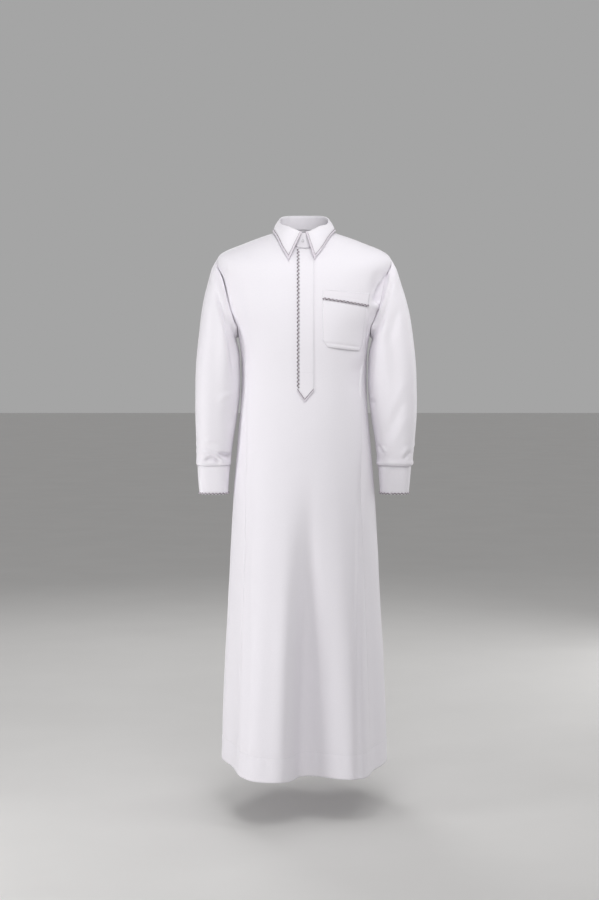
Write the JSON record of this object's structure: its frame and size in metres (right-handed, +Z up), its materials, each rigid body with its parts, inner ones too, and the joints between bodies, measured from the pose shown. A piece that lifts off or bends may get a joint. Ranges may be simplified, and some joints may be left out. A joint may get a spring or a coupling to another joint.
{
  "type": "thobe robe",
  "caption": "Ankle-length straight white robe with long cuffed sleeves, a turned-down point collar, a front placket ending in a point, and a chest pocket, all trimmed with fine braid.",
  "frame": {"origin": "between the neck points of the two shoulders, in the plane of the side seams, where the robe hangs on its wearer", "axes": "+Z up along the robe's length, towards the wearer's head; -Y the way the wearer faces; +X the wearer's left"},
  "size_m": [0.5776, 0.4609, 1.4272],
  "materials": {
    "cloth": "smooth matt-satin white shirting",
    "trim": "grey-mauve braid and piping",
    "button": "pearly white resin"
  },
  "bodies": {
    "root": {"back": "cloth", "collar_button": "button", "collar_leaf": "cloth", "collar_piping": "trim", "collar_stand": "cloth", "cuff_cord_left": "trim", "cuff_cord_right": "trim", "cuff_left": "cloth", "cuff_right": "cloth", "front": "cloth", "placket": "cloth", "placket_braid": "trim", "placket_piping": "trim", "pocket": "cloth", "pocket_band": "cloth", "pocket_cord": "trim", "side_panel_left": "cloth", "side_panel_right": "cloth", "sleeve_left": "cloth", "sleeve_right": "cloth"}
  },
  "joints": []
}
